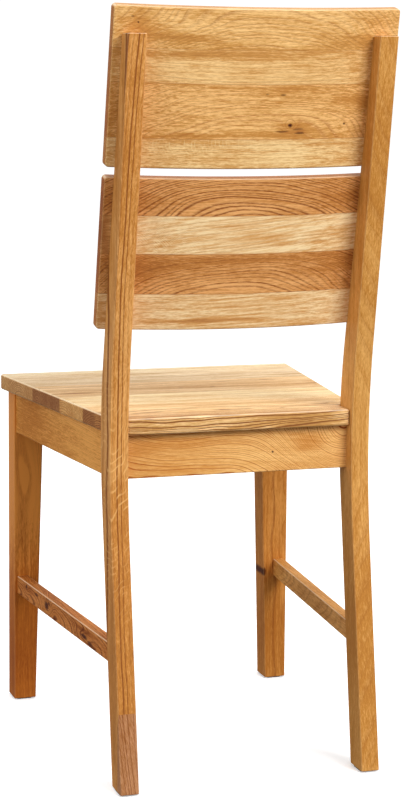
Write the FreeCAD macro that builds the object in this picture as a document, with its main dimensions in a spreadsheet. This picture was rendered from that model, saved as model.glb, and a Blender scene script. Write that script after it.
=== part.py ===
import FreeCAD, Part

import os
import re

import Sketcher
from FreeCAD import Placement, Rotation, Vector

# A dining chair in solid oak. The seat's front edge is towards -Y and the back towards +Y;
# +X is the sitter's left. The origin is on the floor, at the middle of the chair's outer box.

SIZES = {
    # seat: a slab glued up from staves, narrower at the back, let in between the rear posts
    "seat_height": 476, "seat_thick": 22, "seat_front_y": -254.5, "seat_depth": 428,
    "seat_front_width": 441, "seat_rear_width": 339.5, "seat_notch_y": 135.5,
    "seat_gap": 0.5, "seat_corner": 3, "seat_arris": 3,
    # front legs: tapered on the inner side below the aprons
    "foot": 2, "leg_outer_width": 420, "leg_front_y": -249.5, "leg_depth": 36,
    "leg_width": 43, "leg_toe_width": 32, "leg_arris": 2,
    # rear posts: bent at the seat, splayed to the floor and raked above
    "post_outer_width": 355, "post_thick": 25, "post_height": 962.5, "post_arris": 2,
    "front_bend_y": 127.7, "front_bend_height": 460, "front_bend_radius": 530,
    "front_toe_y": 195.5, "front_tip_y": 228.6,
    "rear_bend_y": 170, "rear_bend_height": 438, "rear_bend_radius": 820,
    "rear_toe_y": 236, "rear_tip_y": 254.5,
    "heel_room_height": 112, "heel_block_y": 220.6,
    # aprons under the seat
    "apron_height": 58, "apron_thick": 20, "apron_arris": 1.5, "front_apron_inset": 6,
    "rear_apron_y": 162, "side_apron_thick": 18, "side_apron_front_x": 207,
    "side_apron_rear_x": 169.5, "side_apron_end_y": 138.5,
    # side stretchers
    "rail_top": 185, "rail_height": 26, "rail_thick": 16, "rail_front_x": 205.4,
    "rail_rear_x": 174.5, "rail_end_y": 184, "rail_arris": 2,
    # back panels, bowed backwards and let into the posts by a shallow housing
    "back_width": 377, "back_thick": 15, "back_radius": 1045, "back_let_in": 1,
    "back_foot": 589, "lower_back_height": 200, "back_gap": 12, "upper_back_height": 203.5,
    "back_corner": 5, "back_arris": 2.5,
    # corner blocks under the seat
    "block_length": 94, "block_thick": 22, "block_height": 50, "block_standoff": 8,
    "rear_block_x": 123.5,
    # fixings
    "dowel_radius": 4, "dowel_length": 40, "pin_radius": 3.5, "pin_length": 22,
    "screw_radius": 2, "screw_head_radius": 4, "screw_head": 3, "block_screw_length": 60,
    "seat_screw_length": 62, "glide_length": 28, "glide_width": 22, "glide_corner": 4,
}

# stave widths: the seat's from its front edge, the panels' from their lower edge
SEAT_STAVES = (34, 54, 44, 104, 84, 42, 66)
LOWER_BACK_STAVES = (48, 53, 50, 49)
UPPER_BACK_STAVES = (38.5, 70, 43, 52)

# heights of the dowels in the apron joints, staggered so that two rows pass in one leg
SIDE_DOWELS = (405, 433)
CROSS_DOWELS = (419, 447)
BLOCK_SCREWS = (412, 440)
PIN_HEIGHTS = (45, 155)

# how far along a corner block its bar starts and its screw goes in, measured from its anchor
FRONT_BLOCK = {"start": -37.5, "screw": 5.7}
REAR_BLOCK = {"start": -71.4, "screw": -24.7}
SEAT_SCREW_STEP = 18
REACH = 600

SEAT_BOTTOM = "(seat_height - seat_thick)"
APRON_BOTTOM = "(seat_height - seat_thick - apron_height)"
LEG_REAR_Y = "(leg_front_y + leg_depth)"
POST_INNER_X = "(post_outer_width / 2 - post_thick)"
POST_MIDDLE_X = "(post_outer_width / 2 - post_thick / 2)"
RAKE = "atan((front_tip_y - front_bend_y) / (post_height - front_bend_height))"

doc = FreeCAD.newDocument("dining_chair")
sheet = doc.addObject("Spreadsheet::Sheet", "Sizes")
for row, (alias, size) in enumerate(SIZES.items(), start=1):
    sheet.set(f"A{row}", str(size))
    sheet.setAlias(f"A{row}", alias)
doc.recompute()

X, Y, Z = Vector(1, 0, 0), Vector(0, 1, 0), Vector(0, 0, 1)
nodes = []


def linked(formula):
    """The formula with each of the sheet's words marked as one of Sizes."""
    return re.sub(r"[a-z_]+", lambda w: f"Sizes.{w[0]}" if w[0] in SIZES else w[0], str(formula))


def bind(item, formulas):
    for name, formula in formulas.items():
        item.setExpression(name, linked(formula))


def move(item, x=0, y=0, z=0):
    """Binds where an object stands."""
    bind(item, {f"Placement.Base.{axis}": at for axis, at in zip("xyz", (x, y, z)) if at != 0})


def node(item, name):
    """Names a finished sub-part and puts it on the list to be written."""
    item.Label = name
    nodes.append(item)
    return item


# ---- sketched boards -------------------------------------------------------------------


def sketch_on(body, plane, offset):
    """An empty sketch on one of the body's own origin planes, at a bound distance from it."""
    sketch = body.newObject("Sketcher::SketchObject", f"{body.Name}_outline")
    support = [part for part in body.Origin.OriginFeatures if part.Role == plane][0]
    sketch.AttachmentSupport = [(support, "")]
    sketch.MapMode = "FlatFace"
    if offset != 0:
        bind(sketch, {"AttachmentOffset.Base.z": offset})
    return sketch


def fix(sketch, name, constraint, formula):
    """Adds a named dimension and binds it to a formula."""
    sketch.renameConstraint(sketch.addConstraint(constraint), name)
    bind(sketch, {f"Constraints.{name}": formula})


def polygon(sketch, corners):
    """A closed outline of straight sides, every corner held by two bound dimensions."""
    count = len(corners)
    turns = [Rotation(Vector(0, 0, 1), 360 * i / count) for i in range(count)]
    starts = [turn.multVec(Vector(100, 0, 0)) for turn in turns]
    for i in range(count):
        sketch.addGeometry(Part.LineSegment(starts[i], starts[(i + 1) % count]), False)
    for i in range(count):
        sketch.addConstraint(Sketcher.Constraint("Coincident", i, 2, (i + 1) % count, 1))
    for i, (x, y) in enumerate(corners):
        fix(sketch, f"corner{i}_x", Sketcher.Constraint("DistanceX", i, 1, 10.0), x)
        fix(sketch, f"corner{i}_y", Sketcher.Constraint("DistanceY", i, 1, 10.0), y)


def pad(body, sketch, length):
    feature = body.newObject("PartDesign::Pad", f"{body.Name}_pad")
    feature.Profile = sketch
    bind(feature, {"Length": length})
    doc.recompute()
    return feature


def board(name, plane, offset, corners, thick):
    body = doc.addObject("PartDesign::Body", name)
    sketch = sketch_on(body, plane, offset)
    polygon(sketch, corners)
    pad(body, sketch, thick)
    return body


def round_off(body, radius, chosen, name="arris"):
    """Rounds the edges of the body's last feature that the test chooses."""
    tip = body.Tip
    picked = [f"Edge{i}" for i, edge in enumerate(tip.Shape.Edges, start=1) if chosen(edge)]
    fillet = body.newObject("PartDesign::Fillet", f"{body.Name}_{name}")
    fillet.Base = (tip, picked)
    bind(fillet, {"Radius": radius})
    doc.recompute()


def direction(edge):
    return edge.tangentAt(edge.FirstParameter)


def runs(edge, axis, slack=0.02):
    """True if the edge is straight and parallel to the axis."""
    straight = isinstance(edge.Curve, (Part.Line, Part.LineSegment))
    return straight and abs(abs(direction(edge).dot(axis)) - 1) < slack


# ---- plain solids and booleans -----------------------------------------------------------


def solid(kind, name, sizes, x=0, y=0, z=0, turn=None):
    item = doc.addObject(f"Part::{kind}", name)
    bind(item, sizes)
    if turn:
        item.Placement = Placement(Vector(), turn)
    move(item, x, y, z)
    return item


def group(name, items):
    compound = doc.addObject("Part::Compound", name)
    compound.Links = items
    return compound


def cut(name, base, tools):
    """The base less the tools, which don't touch one another."""
    less = doc.addObject("Part::Cut", name)
    less.Base = base
    less.Tool = tools[0] if len(tools) == 1 else group(f"{name}_tools", tools)
    return less


def common(name, base, tool):
    both = doc.addObject("Part::Common", name)
    both.Base, both.Tool = base, tool
    return both


def mirrored(name, source):
    """The same thing on the sitter's other side."""
    twin = doc.addObject("Part::Mirroring", name)
    twin.Source, twin.Normal = source, X
    return twin


def both_sides(name, items):
    left = group(f"{name}_left", items)
    return group(name, [left, mirrored(f"{name}_right", left)])


# ---- fixings on the sitter's left ----------------------------------------------------------

ALONG_X = Rotation(Y, 90)
ALONG_Y = Rotation(X, -90)
DOWEL = {"Radius": "dowel_radius", "Height": "dowel_length"}

apron_dowels = []
for level in CROSS_DOWELS:
    apron_dowels.append(solid(
        "Cylinder", f"front_dowel_{level}", DOWEL, "leg_outer_width / 2 - leg_width - dowel_length / 2",
        "leg_front_y + front_apron_inset + apron_thick / 2", level, ALONG_X))
    apron_dowels.append(solid(
        "Cylinder", f"rear_dowel_{level}", DOWEL, f"{POST_INNER_X} - dowel_length / 2",
        "rear_apron_y - apron_thick / 2", level, ALONG_X))
for level in SIDE_DOWELS:
    apron_dowels.append(solid(
        "Cylinder", f"side_front_dowel_{level}", DOWEL, "side_apron_front_x - side_apron_thick / 2",
        f"{LEG_REAR_Y} - dowel_length / 2", level, ALONG_Y))
    apron_dowels.append(solid(
        "Cylinder", f"side_rear_dowel_{level}", DOWEL, "side_apron_rear_x - side_apron_thick / 2",
        "side_apron_end_y - dowel_length / 2", level, ALONG_Y))

RAIL_DOWEL = {"Radius": "pin_radius", "Height": "dowel_length"}
rail_dowels = [
    solid("Cylinder", "rail_front_dowel", RAIL_DOWEL, "rail_front_x - rail_thick / 2",
          f"{LEG_REAR_Y} - dowel_length / 2", "rail_top - rail_height / 2", ALONG_Y),
    solid("Cylinder", "rail_rear_dowel", RAIL_DOWEL, "rail_rear_x - rail_thick / 2",
          "rail_end_y - dowel_length * 0.7", "rail_top - rail_height / 2", ALONG_Y),
]


def rake(item, rise, behind="0", x="0", tilt="0"):
    """Stands an object on the raked front plane of the posts: up its slope and square behind it."""
    item.Placement = Placement(Vector(), Rotation(-X, 1))
    bind(item, {
        "Placement.Rotation.Angle": f"{tilt} + {RAKE} / 1 deg",
        "Placement.Base.x": x,
        "Placement.Base.y": f"front_bend_y + (back_foot - front_bend_height) * tan({RAKE})"
                            f" + ({rise}) * sin({RAKE}) + ({behind}) * cos({RAKE})",
        "Placement.Base.z": f"back_foot + ({rise}) * cos({RAKE}) - ({behind}) * sin({RAKE})",
    })


# the back's pins stand square to the raked front of the posts
BACK_PANELS = {"lower_back": "0", "upper_back": "(lower_back_height + back_gap)"}
back_pins = []
for panel, rise in BACK_PANELS.items():
    for along in PIN_HEIGHTS:
        pin = solid("Cylinder", f"{panel}_pin_{along}", {"Radius": "pin_radius", "Height": "pin_length"})
        rake(pin, f"{rise} + {along}", "-pin_length * 0.45", POST_MIDDLE_X, "90")
        back_pins.append(pin)


# ---- corner blocks with their screws -------------------------------------------------------


def at_block(anchor, turn, along, across):
    """A place on a corner block: along its bar and inwards across it."""
    angle = f"{turn} deg"
    return (f"{anchor[0]} + ({along}) * cos({angle}) - ({across}) * sin({angle})",
            f"{anchor[1]} + ({along}) * sin({angle}) + ({across}) * cos({angle})")


def screw(name, length, x, y, z, turn):
    """A countersunk screw, its head at the given place."""
    shank = solid("Cylinder", f"{name}_shank", {"Radius": "screw_radius", "Height": length})
    head = solid("Cone", f"{name}_head", {
        "Radius1": "screw_head_radius", "Radius2": "screw_radius", "Height": "screw_head"})
    whole = doc.addObject("Part::MultiFuse", name)
    whole.Shapes = [shank, head]
    whole.Refine = True
    for item in (shank, head):
        item.Placement = Placement(Vector(), turn)
        move(item, x, y, z)
    return whole


def corner(name, anchor, turn, spots):
    """A bar across a corner under the seat, two screws into the leg and one up into the seat."""
    x, y = at_block(anchor, turn, spots["start"], "0")
    bar = solid("Box", f"{name}_bar", {
        "Length": "block_length", "Width": "block_thick", "Height": "block_height"},
        x, y, f"{SEAT_BOTTOM} - block_height", Rotation(Z, turn))
    x, y = at_block(anchor, turn, spots["screw"], "block_thick")
    into_leg = Rotation(Z, turn).multiply(Rotation(X, 90))
    leg_screws = [screw(f"{name}_screw_{level}", "block_screw_length", x, y, level, into_leg)
                  for level in BLOCK_SCREWS]
    x, y = at_block(anchor, turn, spots["screw"] + SEAT_SCREW_STEP, "block_thick / 2")
    up = screw(f"{name}_seat_screw", "seat_screw_length", x, y, f"{SEAT_BOTTOM} - block_height", Rotation())
    return bar, leg_screws, up


FRONT_ANCHOR = ("leg_outer_width / 2 - leg_width - block_standoff", LEG_REAR_Y)
REAR_ANCHOR = ("rear_block_x", "rear_apron_y - apron_thick")
front_bar, front_screws, front_seat_screw = corner("front_block", FRONT_ANCHOR, 45, FRONT_BLOCK)
rear_bar, rear_screws, rear_seat_screw = corner("rear_block", REAR_ANCHOR, 135, REAR_BLOCK)

# ---- front legs ------------------------------------------------------------------------------

LEG_INNER_X = "leg_outer_width / 2 - leg_width"
leg = board("leg_blank", "XZ_Plane", f"-{LEG_REAR_Y}", [
    ("leg_outer_width / 2", "foot"),
    ("leg_outer_width / 2", SEAT_BOTTOM),
    (LEG_INNER_X, SEAT_BOTTOM),
    (LEG_INNER_X, APRON_BOTTOM),
    ("leg_outer_width / 2 - leg_toe_width", "foot"),
], "leg_depth")
round_off(leg, "leg_arris", lambda edge: runs(edge, Z) and edge.Length > 100)
round_off(leg, "leg_arris / 2", lambda edge: edge.BoundBox.ZMax < SIZES["foot"] + 0.1, "toe")
leg_fixings = [item for item in apron_dowels if "front" in item.Name]
front_leg_left = node(cut("leg_left", leg, leg_fixings + rail_dowels[:1] + front_screws), "front_leg_left")
node(mirrored("leg_right", front_leg_left), "front_leg_right")

# ---- rear posts ------------------------------------------------------------------------------

post = board("post_blank", "YZ_Plane", POST_INNER_X, [
    ("front_toe_y", "foot"),
    ("front_bend_y", "front_bend_height"),
    ("front_tip_y", "post_height"),
    ("rear_tip_y", "post_height"),
    ("rear_bend_y", "rear_bend_height"),
    ("rear_toe_y", "foot"),
], "post_thick")


def at_bend(edge, which):
    bend = Vector(0, SIZES[f"{which}_bend_y"], SIZES[f"{which}_bend_height"])
    middle = edge.CenterOfMass
    return runs(edge, X) and Vector(0, middle.y, middle.z).distanceToPoint(bend) < 5


round_off(post, "front_bend_radius", lambda edge: at_bend(edge, "front"), "front_bend")
round_off(post, "rear_bend_radius", lambda edge: at_bend(edge, "rear"), "rear_bend")
round_off(post, "post_arris", lambda edge: edge.BoundBox.ZLength > 50)
round_off(post, "post_arris / 2", lambda edge: edge.BoundBox.ZMin > SIZES["post_height"] - 0.1, "tip")
round_off(post, "post_arris / 2", lambda edge: edge.BoundBox.ZMax < SIZES["foot"] + 0.1, "toe")


# the shallow housings: what lies in front of the panels' bowed rear face is cut from the posts
BOW_CENTRE = f"(back_let_in - sqrt(back_radius ^ 2 - {POST_MIDDLE_X} ^ 2))"
housings = []
for panel, rise in BACK_PANELS.items():
    housing = doc.addObject("Part::Cylinder", f"{panel}_housing")
    bind(housing, {"Radius": "back_radius", "Height": f"{panel}_height"})
    rake(housing, rise, BOW_CENTRE)
    housings.append(housing)

post_fixings = [item for item in apron_dowels if "rear" in item.Name]
housed = cut("post_housed", post, housings)
bored = cut("post_bored", housed, post_fixings + rail_dowels[1:] + rear_screws + back_pins)
node(mirrored("post_right", bored), "rear_post_right")
heel = solid("Box", "heel_room", {"Length": REACH, "Width": REACH, "Height": "heel_room_height"},
             0, "heel_block_y", 0)
node(cut("post_left", bored, [heel]), "rear_post_left")
node(common("heel_block", bored, heel), "rear_foot_block_left")

# ---- aprons and stretchers -------------------------------------------------------------------


def long_edges(edge):
    return edge.Length > 150 and edge.BoundBox.ZLength < 1


def low_edges(edge):
    return long_edges(edge) and edge.BoundBox.ZMax < SIZES["seat_height"] - SIZES["seat_thick"] - 1


def apron(name, half_length, front_y):
    """A cross apron, square at both ends."""
    blank = board(f"{name}_blank", "XY_Plane", APRON_BOTTOM, [
        (half_length, front_y), (half_length, f"{front_y} + apron_thick"),
        (f"-({half_length})", f"{front_y} + apron_thick"), (f"-({half_length})", front_y),
    ], "apron_height")
    round_off(blank, "apron_arris", low_edges)
    return blank


def side_piece(name, bottom, ends, thick, height):
    """A board along the chair's side, from the front leg's rear face into the rear post."""
    front_x, rear_x, end_y = ends
    return board(f"{name}_blank", "XY_Plane", bottom, [
        (front_x, LEG_REAR_Y), (rear_x, end_y),
        (f"{rear_x} - {thick}", end_y), (f"{front_x} - {thick}", LEG_REAR_Y),
    ], height)


dowels_both = both_sides("dowels", apron_dowels)
block_screws_both = both_sides("block_screws", front_screws + rear_screws)
seat_screws_both = both_sides("seat_screw_set", [front_seat_screw, rear_seat_screw])

front_apron = apron("front_apron", LEG_INNER_X, "leg_front_y + front_apron_inset")
rear_apron = apron("rear_apron", POST_INNER_X, "rear_apron_y - apron_thick")
node(cut("front_apron_bored", front_apron, [dowels_both]), "front_apron")
node(cut("rear_apron_bored", rear_apron, [dowels_both]), "rear_apron")

side = side_piece("side_apron", APRON_BOTTOM,
                  ("side_apron_front_x", "side_apron_rear_x", "side_apron_end_y"),
                  "side_apron_thick", "apron_height")
round_off(side, "apron_arris", low_edges)
side_fitted = cut("side_apron_fitted", side, [post])
side_bored = cut("side_apron_bored", side_fitted, [item for item in apron_dowels if "side" in item.Name])
node(side_bored, "side_apron_left")
node(mirrored("side_apron_mirror", side_bored), "side_apron_right")

rail = side_piece("rail", "rail_top - rail_height", ("rail_front_x", "rail_rear_x", "rail_end_y"),
                  "rail_thick", "rail_height")
round_off(rail, "rail_arris", long_edges)
rail_fitted = cut("rail_fitted", rail, [post])
rail_bored = cut("rail_bored", rail_fitted, rail_dowels)
node(rail_bored, "side_stretcher_left")
node(mirrored("rail_mirror", rail_bored), "side_stretcher_right")

# ---- corner blocks ----------------------------------------------------------------------------


def fitted_block(name, bar, around, screws):
    """The bar trimmed to the pieces around it and bored for its screws."""
    trimmed = bar
    for i, piece in enumerate(around):
        trimmed = cut(f"{name}_trim{i}", trimmed, [piece])
    bored_bar = cut(f"{name}_bored", trimmed, screws)
    node(bored_bar, f"corner_block_{name}_left")
    node(mirrored(f"{name}_mirror", bored_bar), f"corner_block_{name}_right")


fitted_block("front", front_bar, [front_apron, side, leg], front_screws + [front_seat_screw])
fitted_block("rear", rear_bar, [rear_apron, side, post], rear_screws + [rear_seat_screw])

# ---- seat: one slab, rounded, then parted into its staves ----------------------------------------

REAR_Y = "(seat_front_y + seat_depth)"
NOTCH_X = f"({POST_INNER_X} - seat_gap)"
SIDE_X = ("(seat_front_width / 2 - (seat_front_width - seat_rear_width) / 2"
          " * (seat_notch_y - seat_front_y) / seat_depth)")
half_seat = [("seat_front_width / 2", "seat_front_y"), (SIDE_X, "seat_notch_y"),
             (NOTCH_X, "seat_notch_y"), (NOTCH_X, REAR_Y)]
other_half = [(f"-({x})", y) for x, y in reversed(half_seat)]
seat = board("seat_blank", "XY_Plane", SEAT_BOTTOM, half_seat + other_half, "seat_thick")

front_line = SIZES["seat_front_y"]
rear_line = front_line + SIZES["seat_depth"]


def outer_corner(edge):
    y = edge.CenterOfMass.y
    return runs(edge, Z) and (abs(y - front_line) < 1 or abs(y - rear_line) < 1)


def seat_rim(edge):
    """The top and bottom edges all round, but not in the notches for the posts."""
    box = edge.BoundBox
    beside_post = box.YMin > SIZES["seat_notch_y"] - 0.5 and box.YLength > 20
    notch_end = abs(box.YMin - SIZES["seat_notch_y"]) < 0.1 and box.YLength < 0.1
    return box.ZLength < 0.1 and not beside_post and not notch_end


round_off(seat, "seat_corner", outer_corner, "corners")
round_off(seat, "seat_arris", seat_rim)
seat_bored = cut("seat_bored", seat, [seat_screws_both])
front_of_stave = 0
for number, width in enumerate(SEAT_STAVES, start=1):
    kerf = solid("Box", f"seat_saw_{number}", {"Length": REACH, "Width": width, "Height": REACH},
                 -REACH / 2, f"seat_front_y + {front_of_stave}", 0)
    node(common(f"seat_part_{number}", seat_bored, kerf), f"seat_stave_{number}")
    front_of_stave += width

# ---- back panels: bowed blanks, parted into their staves -----------------------------------------


def bowed_outline(sketch):
    """The panel seen from above: two arcs about one centre, closed by square ends."""
    rear, front = 0, 1
    for radius in (1000, 900):
        circle = Part.Circle(Vector(0, -900, 0), Z, radius)
        sketch.addGeometry(Part.ArcOfCircle(circle, 1.4, 1.75), False)
    for start, end in (((1, 1), (0, 1)), ((0, 2), (1, 2))):
        line = Part.LineSegment(sketch.getPoint(*start), sketch.getPoint(*end))
        index = sketch.addGeometry(line, False)
        sketch.addConstraint(Sketcher.Constraint("Coincident", *start, index, 1))
        sketch.addConstraint(Sketcher.Constraint("Coincident", *end, index, 2))
    sketch.addConstraint(Sketcher.Constraint("PointOnObject", rear, 3, -2))
    sketch.addConstraint(Sketcher.Constraint("Coincident", front, 3, rear, 3))
    fix(sketch, "centre", Sketcher.Constraint("DistanceY", rear, 3, -900.0), BOW_CENTRE)
    fix(sketch, "rear_face", Sketcher.Constraint("Radius", rear, 1000.0), "back_radius")
    fix(sketch, "front_face", Sketcher.Constraint("Radius", front, 900.0), "back_radius - back_thick")
    for name, arc in (("rear", rear), ("front", front)):
        fix(sketch, f"{name}_left", Sketcher.Constraint("DistanceX", arc, 1, 100.0), "back_width / 2")
        fix(sketch, f"{name}_right", Sketcher.Constraint("DistanceX", arc, 2, -100.0), "-back_width / 2")


def back_panel(panel, rise, widths):
    body = doc.addObject("PartDesign::Body", f"{panel}_blank")
    sketch = sketch_on(body, "XY_Plane", 0)
    bowed_outline(sketch)
    blank = pad(body, sketch, f"{panel}_height")
    half = SIZES["back_width"] / 2
    full = blank.Shape.BoundBox.ZMax
    round_off(body, "back_corner", lambda edge: runs(edge, Y) and abs(edge.CenterOfMass.x) > half - 1,
              "corners")
    round_off(body, "back_arris", lambda edge: edge.BoundBox.ZMin > full - 6 or edge.BoundBox.ZMax < 6
              or abs(edge.CenterOfMass.x) > half - 1)
    rake(body, rise)
    pinned = cut(f"{panel}_bored", body, [both_pins])
    low = 0
    for number, width in enumerate(widths):
        saw = solid("Box", f"{panel}_saw_{number}", {"Length": REACH, "Width": REACH, "Height": width})
        rake(saw, f"{rise} + {low}", -REACH / 2, -REACH / 2)
        # staves are counted from the top
        stave = common(f"{panel}_part_{number}", pinned, saw)
        node(stave, f"{panel}_stave_{len(widths) - number}")
        low += width


both_pins = both_sides("back_pins", back_pins)
back_panel("lower_back", BACK_PANELS["lower_back"], LOWER_BACK_STAVES)
back_panel("upper_back", BACK_PANELS["upper_back"], UPPER_BACK_STAVES)

# ---- fixings and feet as sub-parts -----------------------------------------------------------------

node(dowels_both, "apron_dowels")
node(both_sides("rail_dowel_set", rail_dowels), "stretcher_dowels")
node(both_pins, "back_panel_dowels")
node(block_screws_both, "corner_block_screws")
node(seat_screws_both, "seat_screws")


def glide(name, x, y):
    """A hard felt glide under a foot, set in a little from its edges."""
    body = board(f"{name}_glide", "XY_Plane", 0, [
        (f"{x} + glide_width / 2", f"{y} - glide_length / 2"),
        (f"{x} + glide_width / 2", f"{y} + glide_length / 2"),
        (f"{x} - glide_width / 2", f"{y} + glide_length / 2"),
        (f"{x} - glide_width / 2", f"{y} - glide_length / 2"),
    ], "foot")
    round_off(body, "glide_corner", lambda edge: runs(edge, Z))
    node(body, f"floor_glide_{name}_left")
    node(mirrored(f"{name}_glide_mirror", body), f"floor_glide_{name}_right")


glide("front", "(leg_outer_width / 2 - leg_toe_width / 2)", "(leg_front_y + leg_depth / 2)")
glide("rear", POST_MIDDLE_X, "((front_toe_y + rear_toe_y) / 2)")

# ---- check and write ---------------------------------------------------------------------------------

doc.recompute()
broken = [item.Name for item in doc.Objects if {"Invalid", "Error"} & set(item.State)]
if broken:
    raise SystemExit(f"objects that failed: {broken}")
for item in nodes:
    if item.Shape.isNull() or not item.Shape.isValid() or not item.Shape.Solids:
        raise SystemExit(f"{item.Label} has no valid solid")

os.makedirs("parts", exist_ok=True)
for item in nodes:
    item.Shape.exportStep(os.path.join("parts", f"{item.Label}.step"))
    print(item.Label, len(item.Shape.Solids), round(item.Shape.Volume))
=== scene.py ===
import math
import bpy
from mathutils import Matrix, Quaternion, Vector


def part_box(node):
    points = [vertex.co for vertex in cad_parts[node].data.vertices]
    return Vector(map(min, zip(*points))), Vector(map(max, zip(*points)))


# A dining chair in oiled oak: two bowed back panels and a seat, each glued up from staves,
# on a frame of squared legs, aprons and side stretchers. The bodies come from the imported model.
# Here every one of them gets its finish, and the chair is set on a pale floor in soft light.
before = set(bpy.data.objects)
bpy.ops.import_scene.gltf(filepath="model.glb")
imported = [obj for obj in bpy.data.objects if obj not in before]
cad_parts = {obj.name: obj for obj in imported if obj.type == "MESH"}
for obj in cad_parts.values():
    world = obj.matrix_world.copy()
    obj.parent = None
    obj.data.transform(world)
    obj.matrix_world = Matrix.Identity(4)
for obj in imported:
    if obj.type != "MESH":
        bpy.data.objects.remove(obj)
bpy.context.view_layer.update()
bpy.ops.object.select_all(action="DESELECT")


# ---------------------------------------------------------------- finish-making helpers

class Value:
    """A number, a colour or a place inside a finish. Sums on it add their Math nodes."""

    def __init__(self, finish, socket):
        self.finish, self.socket = finish, socket

    def work(self, operation, *parts):
        return self.finish.node("Math", {"operation": operation}, dict(enumerate(parts)))

    def __add__(self, other):
        return self.work("ADD", self, other)

    def __radd__(self, other):
        return self.work("ADD", other, self)

    def __sub__(self, other):
        return self.work("SUBTRACT", self, other)

    def __rsub__(self, other):
        return self.work("SUBTRACT", other, self)

    def __mul__(self, other):
        return self.work("MULTIPLY", self, other)

    def __rmul__(self, other):
        return self.work("MULTIPLY", other, self)

    def __truediv__(self, other):
        return self.work("DIVIDE", self, other)

    def __pow__(self, other):
        return self.work("POWER", self, other)

    def __abs__(self):
        return self.work("ABSOLUTE", self)

    def fraction(self):
        return self.work("FRACT", self)

    def most(self, other):
        return self.work("MAXIMUM", self, other)

    def least(self, other):
        return self.work("MINIMUM", self, other)

    def bell(self, width):
        """1 at nought, fading to nothing a few widths away."""
        return self.work("EXPONENT", self * self * (-0.5 / width ** 2))

    def step(self, low, high, start=0.0, stop=1.0):
        """start up to low, stop from high on, and smooth between them."""
        return self.finish.node("MapRange", {"interpolation_type": "SMOOTHSTEP"},
                                {"Value": self, "From Min": low, "From Max": high,
                                 "To Min": start, "To Max": stop})


class Finish:
    """One procedural material."""

    def __init__(self, name, **fixed):
        self.material = bpy.data.materials.new(name)
        self.material.use_nodes = True
        self.tree = self.material.node_tree
        self.shader = self.tree.nodes["Principled BSDF"]
        for socket, amount in fixed.items():
            self.shader.inputs[socket.replace("_", " ")].default_value = amount

    def node(self, kind, settings=None, sockets=None, out=0):
        made = self.tree.nodes.new("ShaderNode" + kind)
        for name, setting in (settings or {}).items():
            setattr(made, name, setting)
        for name, given in (sockets or {}).items():
            if isinstance(given, Value):
                self.tree.links.new(given.socket, made.inputs[name])
            else:
                made.inputs[name].default_value = given
        return Value(self, made.outputs[out])

    def spot(self):
        return self.node("TexCoord", out="Object")

    def noise(self, place, scale=1.0, detail=2.0, rough=0.5, out=0):
        return self.node("TexNoise", {}, {"Vector": place, "Scale": scale, "Detail": detail,
                                          "Roughness": rough}, out)

    def drift(self, amount, scale, detail=1.0):
        """Noise along one number."""
        return self.node("TexNoise", {"noise_dimensions": "1D"},
                         {"W": amount, "Scale": scale, "Detail": detail})

    def stretch(self, place, along, across, deep, shift=0.0):
        return self.node("Mapping", {}, {"Vector": place, "Scale": (along, across, deep),
                                         "Location": (shift, shift * 0.7, -shift)})

    def mix(self, amount, first, second, how="MIX"):
        return self.node("Mix", {"data_type": "RGBA", "blend_type": how},
                         {0: amount, 6: first, 7: second}, 2)

    def split(self, place):
        parts = self.node("SeparateXYZ" if place.socket.type == "VECTOR" else "SeparateColor",
                          {}, {0: place}).socket.node.outputs
        return [Value(self, part) for part in parts]

    def away(self, place, u, v, length, height):
        """How far a place is from (u, v), counted in its length and height."""
        near = self.node("Mapping", {}, {"Vector": place, "Scale": (1 / length, 1 / height, 0),
                                         "Location": (-u / length, -v / height, 0)})
        return self.node("VectorMath", {"operation": "LENGTH"}, {0: near}, "Value")

    def join(self, x, y, z):
        return self.node("CombineXYZ", {}, {0: x, 1: y, 2: z})

    def feed(self, socket, given):
        self.tree.links.new(given.socket, self.shader.inputs[socket])

    def relief(self, height, strength, depth):
        self.feed("Normal", self.node("Bump", {}, {"Height": height, "Strength": strength,
                                                   "Distance": depth}))

    def wear(self, *nodes):
        for name in nodes:
            thing = bpy.data.objects[name]
            for slot in thing.material_slots:
                slot.material = self.material
            if not thing.material_slots:
                thing.data.materials.append(self.material)


def tone(red, green, blue):
    """A colour as a paint card gives it, made linear for the shader."""
    return tuple(((c + 0.055) / 1.055) ** 2.4 if c > 0.04045 else c / 12.92
                 for c in (red, green, blue)) + (1.0,)


def middle(node):
    low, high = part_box(node)
    return (Vector(low) + Vector(high)) / 2


# ---------------------------------------------------------------- the wood

MM = 0.001
SWAY = 2.6              # how far one unit of wave carries the rings, in mm
PATCH_SWAY = (60, 14)   # how unevenly a marked patch runs, along and across the grain, in mm
PALER = (1.08, 1.14, 1.26)
BROWNER = (0.88, 0.82, 0.68)
RAY_PALE = (1.10, 1.24, 1.45)
KNOT = (0.28, 0.10, 0.04)
SAWN_END = (0.97, 0.84, 0.66)
OILED_END = (0.74, 0.66, 0.56)
# painted highlight colour for upward arrises, standing in for light from above
ARRIS_HIGHLIGHT = (1.0, 0.92, 0.78)


def tinted(colour, by):
    return tone(*(min(part * factor, 1) for part, factor in zip(colour, by)))


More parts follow.
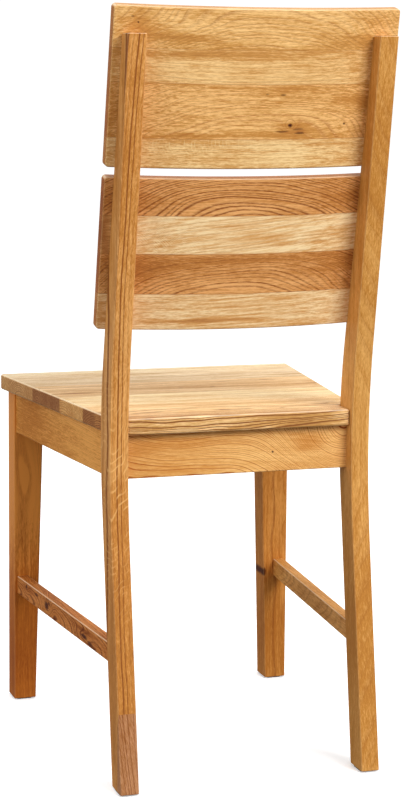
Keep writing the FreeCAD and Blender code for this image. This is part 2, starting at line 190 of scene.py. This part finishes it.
def oak(node, along, across, colour, heart, ring=3.0, tilt=0.0, wave=2.0, lines=1.0, fine=0.45,
        streaks=0.75, ragged=0.5, soft=1.0, knots=(), marks=(), rays=(), seam=0.0, ends=0.5,
        gloss=0.25, shift=0.0, line=(0.70, 0.57, 0.42)):
    """Solid oak, sawn from a trunk whose heart runs beside the board.

    All places are in mm from the middle of the board: u along the grain, v across the face.
    heart says where the heart lies across and through the board, and tilt how it slants. The
    year rings lie round it, ring mm apart, and wave makes them wander. lines, soft, ragged and
    line say how strong, how broad, how broken and how dark the ring lines are, fine and
    streaks how strong the pores and threads are, and seam how far out a glue line shows. knots
    are (u, v, size, dark, push, stretch), marks are darker or paler patches (u, v, length,
    height, amount), above nought darker and below paler, which on the front legs are painted
    light and shade, and rays are fine pale lines across the grain (u, v, length, height, pitch,
    slant, amount).
    """
    finish = Finish("oak " + node.replace("_", " "), Specular_IOR_Level=gloss)
    along, across = Vector(along).normalized(), Vector(across).normalized()
    turned = Matrix((along, across, along.cross(across))).transposed().to_euler()
    place = finish.node("Mapping", {"vector_type": "TEXTURE"},
                        {"Vector": finish.spot(), "Location": middle(node),
                         "Rotation": turned, "Scale": (MM, MM, MM)})
    u, v, w = finish.split(place)

    # slow waves in the trunk, then the distance from its heart
    sway_u, sway_v, sway_w = finish.split(finish.noise(
        finish.stretch(place, 0.007, 0.02, 0.02, shift), detail=1.5, out=1))
    far_v = v + (sway_u - 0.5) * (SWAY * wave) - heart[0]
    far_w = w + (sway_v - 0.5) * (SWAY * wave) - heart[1]
    if tilt:
        far_v = far_v - u * tilt
    years = (far_v * far_v + far_w * far_w) ** 0.5 / ring
    grain = finish.join(u, far_v, far_w)

    # the wood's own threads and pores, which run with the grain
    thread = finish.noise(finish.stretch(grain, 0.006, 0.36, 0.36, shift), detail=4.0, rough=0.72)
    pores = finish.noise(finish.stretch(grain, 0.10, 0.95, 0.95, shift), detail=2.5, rough=0.75)
    patch = finish.noise(finish.stretch(place, 0.011, 0.045, 0.045, shift), detail=1.5)

    # knots push the rings aside and end in a dark core
    dark = None
    for away, up, size, depth, push, stretch in knots:
        near = finish.away(place, away, up, size * stretch, size)
        if push:
            years = years + near.bell(1.9) * (push * size / ring)
        if depth:
            core = (near + (pores - 0.5) * 2.2).step(1.25, 0.6) * depth
            dark = core if dark is None else dark.most(core)
    years = years + (finish.drift(years, 0.27) - 0.5) * 2.2

    # a year starts with open, dark wood, drawn as a line on the side it faces
    part = years.fraction()
    edge = part.step(0.06 + 0.40 * soft, 0.04).most(part.step(0.98 - 0.14 * soft, 0.99))
    force = finish.drift(years, 0.71).step(0.30, 0.62, 0.15, 1.0)
    normal = finish.node("TexCoord", out="Normal")
    facing = finish.split(finish.node(
        "VectorRotate", {"rotation_type": "EULER_XYZ", "invert": True},
        {"Vector": normal, "Rotation": turned}))
    end = abs(facing[0]).step(0.75, 0.95)
    broken = pores.step(0.30, 0.62, 1 - ragged, 1.0)
    drawn = (edge * force * broken * lines).most(edge * end * 0.7)
    body = ((thread - 0.5) * (3.4 * streaks) + (patch - 0.5) * 1.04
            + (pores - 0.5) * (4.5 * fine) + part * 0.3 + 0.35)
    # darker or paler patches from marks; on the front legs these are painted light and shade
    if marks:
        swayed = finish.join(u + (sway_u - 0.5) * PATCH_SWAY[0], v + (sway_w - 0.5) * PATCH_SWAY[1],
                             0.0)
    for away, up, length, height, amount in marks:
        body = body + finish.away(swayed, away, up, length, height).bell(0.6) * amount

    ink = tinted(colour, line)
    surface = finish.mix(body, tinted(colour, PALER), tinted(colour, BROWNER))
    surface = finish.mix((body - 1) * 0.7, surface, ink)
    surface = finish.mix(drawn.least(1), surface, ink)
    for away, up, length, height, pitch, slant, amount in rays:
        count = (u + v * slant) / pitch + (sway_w - 0.5) * 9 + (patch - 0.5) * 3
        hair = abs(count.fraction() - 0.5).step(0.17, 0.03)
        here = finish.noise(finish.stretch(place, 0.45 / pitch, 0.07, 0.07, shift + 5), detail=1.0)
        hair = hair * here.step(0.42, 0.58) * finish.away(place, away, up, length, height).bell(0.7)
        surface = finish.mix((hair * amount).least(1), surface, tinted(colour, RAY_PALE))
    if seam:
        surface = finish.mix(abs(v).step(seam - 1.0, seam - 0.2) * 0.5, surface, ink)
    if dark is not None:
        surface = finish.mix((dark * pores.step(0.2, 0.6, 0.75, 1.0)).least(1), surface,
                             tone(*KNOT))

    # sawn ends drink more oil and come out darker, and upward arrises get a painted highlight,
    # paler where light from above would catch them
    arris = abs(facing[0]).most(abs(facing[1])).most(abs(facing[2])).step(0.97, 0.88)
    surface = finish.mix(end, surface, tone(*SAWN_END), "MULTIPLY")
    surface = finish.mix(end * ends, surface, tone(*OILED_END), "MULTIPLY")
    upward = finish.split(normal)[2].step(0.2, 0.6, 0.06, 0.45)
    # painted highlight: upward arrises made paler, as if lit from above
    surface = finish.mix(arris * upward, surface, tone(*ARRIS_HIGHLIGHT))
    finish.feed("Base Color", surface)
    finish.feed("Roughness", drawn * 0.12 + body * 0.06 + 0.43)
    finish.relief(pores * 0.6 - drawn * 0.7, 0.25, 0.0004)
    finish.wear(node)


SIDEWAYS, REARWARDS, UPWARDS = (1, 0, 0), (0, 1, 0), (0, 0, 1)

# ---------------------------------------------------------------- the back

rake = math.radians(11.36)
up_the_back = (0, math.sin(rake), math.cos(rake))


def back_stave(node, colour, heart, **more):
    oak(node, SIDEWAYS, up_the_back, colour, heart, **more)


back_stave("upper_back_stave_1", (0.93, 0.715, 0.43), (45, 200), ring=1.35, wave=2.5, lines=0.6,
           seam=26, ragged=0.7, fine=0.6,
           marks=((112, -13, 55, 8, 1.0), (160, 8, 30, 30, 0.6), (-120, -14, 60, 10, 0.6),
                  (-30, -24, 170, 4, 0.5), (-150, 12, 45, 12, 0.35)),
           knots=((158, 6, 1.3, 0.9, 0, 1), (165, 13, 1.0, 0.7, 0, 2)), shift=1)
back_stave("upper_back_stave_2", (0.95, 0.735, 0.46), (-190, 90), ring=1.5, wave=2.5, lines=0.65,
           seam=21.5, ragged=0.6, fine=0.5, streaks=0.95,
           marks=((90, 14, 90, 5, 0.9), (-20, 17, 160, 4, 0.6), (0, -14, 150, 9, -0.2),
                  (188, 0, 14, 50, 0.55)), shift=2)
back_stave("upper_back_stave_3", (0.92, 0.695, 0.41), (-48, -190), ring=1.3, wave=3.0, lines=0.75,
           seam=35, ragged=0.75, fine=0.7, streaks=0.9, line=(0.76, 0.62, 0.46),
           knots=((-46, -17, 2.6, 1, 1.5, 1.2), (-60, -27, 1.5, 0.8, 0, 4),
                  (-57, -22, 1.4, 0.6, 0, 5), (-36, -25, 1.4, 0.7, 0, 6),
                  (-12, 23, 1.1, 0.5, 0, 2), (-33, 22, 1.4, 0.7, 1, 3),
                  (-121, -16, 1.4, 1, 0, 1)),
           marks=((-52, -21, 36, 9, 1.0), (-138, 12, 36, 12, 1.0), (10, -31, 190, 4, 0.9),
                  (188, 0, 14, 60, 0.6), (30, 4, 110, 12, -0.3), (-30, 27, 70, 6, 0.6),
                  (20, 32, 180, 3, 0.5)), shift=3)
back_stave("upper_back_stave_4", (0.965, 0.755, 0.49), (-240, 30), ring=1.9, wave=1.5, lines=0.6,
           seam=19, ragged=0.8, fine=0.6, streaks=0.95,
           marks=((90, 14, 70, 5, 0.7), (-100, 12, 60, 5, 0.6), (-60, 2, 80, 12, -0.3),
                  (188, 5, 12, 30, 0.3)),
           rays=((85, 12, 70, 12, 4.2, 0.1, 0.4),), shift=4)
back_stave("lower_back_stave_1", (0.87, 0.61, 0.345), (-53, -193), ring=1.1, wave=2.4, lines=1.4,
           seam=24.5, ragged=0.65, fine=0.45, line=(0.64, 0.50, 0.36),
           marks=((150, -6, 60, 18, 0.7), (-140, -6, 50, 18, 0.7), (-5, -14, 90, 9, -0.3)), shift=5)
back_stave("lower_back_stave_2", (0.98, 0.775, 0.54), (-170, -100), ring=4.2, tilt=-0.11, wave=2,
           lines=0.4, seam=25, ragged=0.6, fine=0.3, streaks=1.15,
           rays=((110, -5, 50, 24, 3.6, -1.1, 0.5),),
           marks=((-100, 14, 90, 7, -0.4), (-60, -19, 120, 4, -0.4), (20, -2, 90, 6, 0.35),
                  (188, 0, 14, 50, 2.0)), shift=6)
back_stave("lower_back_stave_3", (0.87, 0.61, 0.345), (-53, -193), ring=1.05, wave=3, lines=1.1,
           seam=26.5, ragged=0.75, fine=0.55, line=(0.66, 0.52, 0.38),
           marks=((145, 12, 50, 20, 0.9), (-140, 10, 50, 18, 0.7), (0, 18, 120, 8, 0.6),
                  (0, -16, 90, 10, -0.45)), shift=7)
back_stave("lower_back_stave_4", (0.98, 0.77, 0.535), (-260, 40), ring=2.2, tilt=-0.04, wave=1.5,
           lines=0.5, seam=24, ragged=0.8, fine=0.4, streaks=1.1,
           marks=((40, -13, 130, 3, 1.1), (-60, -20, 90, 5, 0.4), (188, 0, 12, 50, 0.4)), shift=8)

# ---------------------------------------------------------------- the seat

for number, colour, heart, more in (
        (1, (0.96, 0.825, 0.63), (-40, -70), {"ends": 0.35}),
        (2, (0.91, 0.78, 0.585), (20, -40), {"ends": 0.35, "marks": ((20, -8, 60, 5, 1.1),)}),
        (3, (0.88, 0.745, 0.55), (-40, -50), {
            "ends": 0.15, "marks": ((-176, -2, 30, 5, 1.2), (60, 4, 90, 4, 0.6))}),
        (4, (0.89, 0.715, 0.475), (-34, -10), {
            "ends": 0.9, "lines": 0.9, "streaks": 1.1,
            "marks": ((165, 22, 40, 6, 1.5), (-190, 14, 40, 5, 1.2), (60, 0, 160, 8, 0.6),
                      (-30, 12, 150, 4, 0.6)),
            "knots": ((-40, 8, 1.6, 0.8, 0, 2.5), (8, 12, 1.4, 0.8, 0, 2.5))}),
        (5, (0.96, 0.80, 0.565), (-30, -60), {"ends": 0.1}),
        (6, (0.93, 0.75, 0.50), (20, -50), {"ends": 1.0, "marks": ((-20, 8, 150, 4, 0.8),)}),
        (7, (0.93, 0.735, 0.475), (-14, -40), {
            "ring": 2.2, "wave": 6, "lines": 1.8, "ragged": 0.25, "ends": 0.6, "soft": 0.85,
            "line": (0.58, 0.43, 0.28), "marks": ((60, 27, 130, 5, 0.9), (-80, 30, 80, 4, 0.9))})):
    oak(f"seat_stave_{number}", SIDEWAYS, REARWARDS, colour, heart,
        **{"lines": 0.6, "streaks": 1.0, "gloss": 0.3, "shift": 10 + number, **more})

# ---------------------------------------------------------------- the frame

for node, colour, heart, more in (
        ("rear_post_left", (0.88, 0.62, 0.335), (-150, 12), {
            "ring": 7.0, "wave": 2.4, "lines": 1.6, "ragged": 0.4, "fine": 0.5, "soft": 0.7,
            "line": (0.64, 0.52, 0.40),
            "rays": ((-90, 0, 130, 60, 11, 0.7, 0.55),),
            "marks": ((330, 0, 170, 60, 0.5), (-290, 0, 200, 60, 0.75))}),
        ("rear_post_right", (0.85, 0.61, 0.315), (-40, 170), {
            "ring": 5.0, "lines": 0.3, "fine": 0.5, "streaks": 0.45,
            "marks": ((-290, 0, 200, 60, 0.6), (340, 0, 170, 60, 0.5))}),
        ("rear_foot_block_left", (0.72, 0.49, 0.31), (-70, 90), {"ring": 2.4, "tilt": 0.3}),
        ("front_leg_left", (0.84, 0.51, 0.205), (10, -60), {
            "ring": 1.3, "wave": 3, "lines": 0.45, "ragged": 0.7, "fine": 0.6,
            # painted light high up and painted shade towards the foot, where the leg stands in the
            # seat's shadow
            "marks": ((130, 0, 130, 80, -1.5), (-160, 0, 140, 80, 1.3))}),
        ("front_leg_right", (0.81, 0.53, 0.24), (-30, -110), {
            # the mark paints shade towards the foot, where the leg stands in the seat's shadow
            "ring": 2.6, "wave": 2.5, "lines": 0.7, "marks": ((-150, 0, 140, 80, 0.35),),
            "knots": ((-62, 14, 3.0, 1, 1.5, 2.0),)})):
    oak(node, UPWARDS, SIDEWAYS, colour, heart, gloss=0.1, shift=len(node) + heart[0], **more)

oak("rear_apron", SIDEWAYS, UPWARDS, (0.96, 0.705, 0.405), (-30, -46), ring=2.6, tilt=0.10,
    wave=7, lines=1.9, ragged=0.2, soft=0.3, streaks=0.4, fine=0.3, line=(0.72, 0.52, 0.30),
    shift=21,
    knots=((-49, -3, 1.3, 1, 0, 1), (-100, 12, 20, 0, 1.7, 1.4), (96, 22, 14, 0, 1.8, 2.4),
           (-158, 8, 30, 0, 2.6, 0.8)),
    marks=((-100, 8, 26, 14, 0.8), (140, 0, 70, 60, 0.45)))
oak("front_apron", SIDEWAYS, UPWARDS, (0.87, 0.62, 0.34), (20, -70), ring=2.4, wave=4, shift=22)
for node, colour, heart, more in (
        ("side_apron_left", (0.88, 0.59, 0.265), (-220, 90), {
            "lines": 0.5,
            "marks": ((-120, 0, 80, 60, 0.5), (120, 0, 90, 60, -0.5), (40, 22, 60, 5, -0.6))}),
        ("side_apron_right", (0.86, 0.59, 0.30), (-160, -120), {}),
        ("side_stretcher_left", (0.80, 0.49, 0.22), (-8, 45), {
            "ring": 1.6, "lines": 1.2, "line": (0.55, 0.42, 0.33),
            "knots": ((-150, 7, 3.0, 1, 1.5, 1.2), (-60, 1, 5.5, 1, 2.2, 1.5),
                      (-50, 6, 2.5, 0.8, 0, 2), (96, -3, 3.0, 1, 1.5, 4.0),
                      (120, -7, 2.5, 0.9, 0, 4.0), (-105, 6, 2.5, 0.8, 0, 3.5)),
            "marks": ((100, 4, 50, 4, 1.2), (-150, 6, 30, 4, 0.9))}),
        ("side_stretcher_right", (0.86, 0.60, 0.30), (10, -70), {})):
    oak(node, REARWARDS, UPWARDS, colour, heart,
        **{"ring": 2.0, "wave": 2.5, "lines": 0.55, "gloss": 0.1,
           "shift": 20 + len(node) + heart[0], **more})

# ---------------------------------------------------------------- small parts

for number, (corner, slope) in enumerate((("front_left", -0.7), ("front_right", 0.7),
                                          ("rear_left", 0.7), ("rear_right", -0.7))):
    oak("corner_block_" + corner, (0.7, slope, 0), UPWARDS, (0.84, 0.68, 0.47), (12, -60), ring=3.2,
        lines=0.5, streaks=0.6, shift=31 + number)

beech = Finish("beech dowel")
flecks = beech.noise(beech.stretch(beech.spot(), 260, 260, 1400), scale=2, detail=0.6)
beech.feed("Base Color",
           beech.mix(flecks.step(0.52, 0.70), tone(0.82, 0.66, 0.48), tone(0.70, 0.52, 0.35)))
beech.feed("Roughness", flecks * 0.2 + 0.5)
beech.relief(flecks, 0.25, 0.0003)
beech.wear("apron_dowels", "back_panel_dowels", "stretcher_dowels")

steel = Finish("zinc plated screw", Metallic=1.0)
swirl = steel.noise(steel.stretch(steel.spot(), 900, 900, 900), scale=2, detail=0.6)
plate = steel.noise(steel.stretch(steel.spot(), 160, 160, 160), scale=3, detail=0.6)
steel.feed("Base Color",
           steel.mix(plate.step(0.38, 0.66), tone(0.82, 0.81, 0.77), tone(0.66, 0.66, 0.60)))
steel.feed("Roughness", plate * 0.3 + 0.22)
steel.relief(swirl, 0.15, 0.0002)
steel.wear("corner_block_screws", "seat_screws")

felt = Finish("pressed felt glide", Specular_IOR_Level=0.1, Sheen_Weight=0.4)
hairs = felt.noise(felt.stretch(felt.spot(), 1500, 1500, 500), scale=4, detail=0.7)
felt.feed("Base Color",
          felt.mix(hairs.step(0.35, 0.65), tone(0.26, 0.19, 0.14), tone(0.44, 0.35, 0.27)))
felt.feed("Roughness", hairs * 0.1 + 0.88)
felt.relief(hairs, 0.8, 0.0008)
felt.wear("floor_glide_front_left", "floor_glide_front_right", "floor_glide_rear_left",
          "floor_glide_rear_right")

# ---------------------------------------------------------------- floor, light, camera

bpy.ops.mesh.primitive_plane_add(size=60, location=(0, 0, 0))
floor = bpy.context.object
floor.name = "studio_floor"
paper = Finish("studio paper", Base_Color=(0.93, 0.93, 0.93, 1), Roughness=0.95,
               Emission_Color=(1, 1, 1, 1), Emission_Strength=0.35)
floor.data.materials.append(paper.material)
floor.visible_diffuse = floor.visible_glossy = False   # little light comes back up from it

bpy.ops.mesh.primitive_cylinder_add(vertices=96, radius=20, depth=30, location=(0, 0, 10))
wall = bpy.context.object
wall.name = "studio_wall"
bright = Finish("studio wall", Base_Color=(0, 0, 0, 1), Roughness=1.0,
                Emission_Color=(1, 1, 1, 1), Emission_Strength=1.05)
wall.data.materials.append(bright.material)
wall.visible_diffuse = wall.visible_glossy = wall.visible_shadow = False

# the room's own light comes from above and fades towards the floor
world = bpy.data.worlds.new("soft room")
bpy.context.scene.world = world
world.use_nodes = True
sky = world.node_tree
height = sky.nodes.new("ShaderNodeSeparateXYZ")
sky.links.new(sky.nodes.new("ShaderNodeTexCoord").outputs["Generated"], height.inputs[0])
fade = sky.nodes.new("ShaderNodeMapRange")
for socket, amount in (("From Min", -0.5), ("From Max", 0.5), ("To Min", 0.10), ("To Max", 0.80)):
    fade.inputs[socket].default_value = amount
sky.links.new(height.outputs[2], fade.inputs["Value"])
sky.links.new(fade.outputs[0], sky.nodes["Background"].inputs["Strength"])
sky.nodes["Background"].inputs["Color"].default_value = (1, 1, 1, 1)

CHAIR_MIDDLE = (0, 0, 0.5)


def soft_box(name, place, power):
    bpy.ops.object.light_add(type="AREA", location=place)
    box = bpy.context.object
    box.name = name
    box.data.shape = "SQUARE"
    box.data.size = 2.0
    box.data.energy = power
    box.rotation_euler = (Vector(place) - Vector(CHAIR_MIDDLE)).to_track_quat("Z", "Y").to_euler()


soft_box("soft box behind", (-1.5, 3.2, 2.8), 130)
soft_box("soft box above", (0.3, -1.4, 3.2), 30)
soft_box("soft box beside", (3.6, 1.4, 1.3), 32)

around, above, tip = math.radians(161.92), math.radians(7.207), math.radians(0.485)
back = Vector((math.sin(around) * math.cos(above), -math.cos(around) * math.cos(above),
               math.sin(above)))
aim, distance = Vector((-0.0249, -0.0731, 0.5547)), 3.041
bpy.ops.object.camera_add(location=aim + back * distance)
camera = bpy.context.object
camera.rotation_mode = "QUATERNION"
camera.rotation_quaternion = back.to_track_quat("Z", "Y") @ Quaternion((0, 0, 1), tip)
camera.data.sensor_fit = "VERTICAL"
camera.data.sensor_height = 36
camera.data.lens = 97.69
camera.data.shift_y = -0.0875
camera.data.clip_end = 100
bpy.context.scene.camera = camera
bpy.context.scene.view_settings.view_transform = "Standard"
